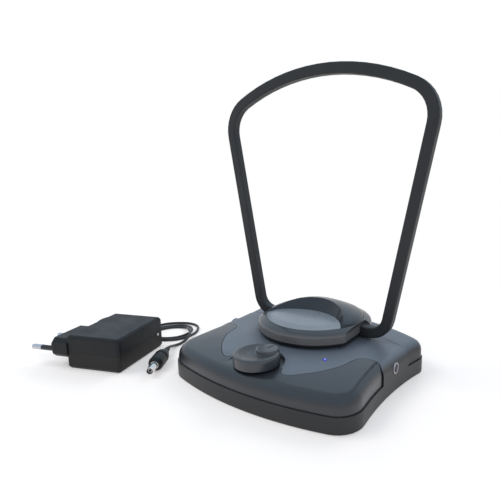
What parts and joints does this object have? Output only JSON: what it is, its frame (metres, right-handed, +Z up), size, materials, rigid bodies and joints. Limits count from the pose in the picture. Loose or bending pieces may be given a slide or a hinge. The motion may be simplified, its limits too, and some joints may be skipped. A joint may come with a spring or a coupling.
{
  "type": "indoor loop antenna",
  "caption": "Indoor radio antenna: a folding loop on a turntable over a low amplifier base with gain knob, power inlet and coaxial output, and its mains adapter with lead and barrel plug.",
  "frame": {"origin": "on the floor under the middle of the base, between its front and rear edges", "axes": "+Z up, front with the gain knob towards -Y, +X to the right seen from the front; the fold axis runs along X and the swivel along Z"},
  "size_m": [0.2943, 0.1802, 0.2242],
  "materials": {
    "gloss_black": "glossy moulded",
    "satin_black": "satin moulded",
    "gloss_cap": "polished",
    "loop_grey": "fine matt",
    "plate_grey": "matt",
    "foot_rubber": "matt",
    "screw_steel": "zinc plated",
    "board_green": "solder mask",
    "tin_plate": "tinned",
    "nickel": "nickel plated",
    "insulator_white": "natural",
    "contact_brass": "plated",
    "pipe_blue": "clear tinted",
    "adapter_grey": "fine matt",
    "cord_black": "satin",
    "core_iron": "laminated",
    "winding_copper": "enamelled",
    "conductor_aluminium": "drawn"
  },
  "bodies": {
    "base": {"main_housing": "gloss_black", "front_cover": "satin_black", "rear_cover": "gloss_black", "base_plate": "plate_grey", "rubber_feet": "foot_rubber", "base_screws": "screw_steel", "circuit_board": "board_green", "board_screws": "screw_steel", "shield_can": "tin_plate", "gain_control": "tin_plate", "control_nut": "screw_steel", "power_inlet": "nickel", "inlet_pin": "nickel", "coax_sleeve": "nickel", "coax_insulator": "insulator_white", "coax_contact": "contact_brass", "status_led": "pipe_blue", "light_pipe": "pipe_blue", "swivel_washer": "insulator_white", "adapter_lower_case": "adapter_grey", "adapter_upper_case": "adapter_grey", "adapter_neck": "adapter_grey", "mains_pins": "nickel", "pin_sleeves": "cord_black", "adapter_led": "pipe_blue", "transformer_core": "core_iron", "transformer_winding": "winding_copper", "rectifier_board": "board_green", "cord_relief": "cord_black", "cord_exit": "cord_black", "cord_coil": "cord_black", "power_cord": "cord_black", "plug_grip": "adapter_grey", "plug_barrel": "nickel", "barrel_insulator": "cord_black", "barrel_contact": "contact_brass"},
    "turntable": {"swivel_hub": "plate_grey", "swivel_clip": "screw_steel", "turntable_ring": "gloss_black", "turntable_screws": "screw_steel", "turntable_cap": "gloss_cap", "lens_plate": "gloss_cap", "contact_springs": "contact_brass"},
    "loop": {"loop_front_shell": "loop_grey", "loop_rear_shell": "loop_grey", "loop_conductor": "conductor_aluminium", "pivot_pins": "screw_steel", "pivot_clips": "screw_steel", "pivot_washers": "insulator_white"},
    "knob": {"gain_shaft": "screw_steel", "gain_knob": "gloss_black"}
  },
  "joints": [
    {"name": "turntable_swivel", "type": "hinge", "parent": "base", "child": "turntable", "pos_m": [0, 0.02, 0.0268], "axis": [0, 0, 1], "range_deg": [-42, 42]},
    {"name": "loop_fold", "type": "hinge", "parent": "turntable", "child": "loop", "pos_m": [0, 0.025, 0.0304], "axis": [1, 0, 0], "range_deg": [-30, 88]},
    {"name": "gain_turn", "type": "hinge", "parent": "base", "child": "knob", "pos_m": [0, -0.0505, 0.022], "axis": [0, 0, 1], "range_deg": [-150, 150]}
  ]
}
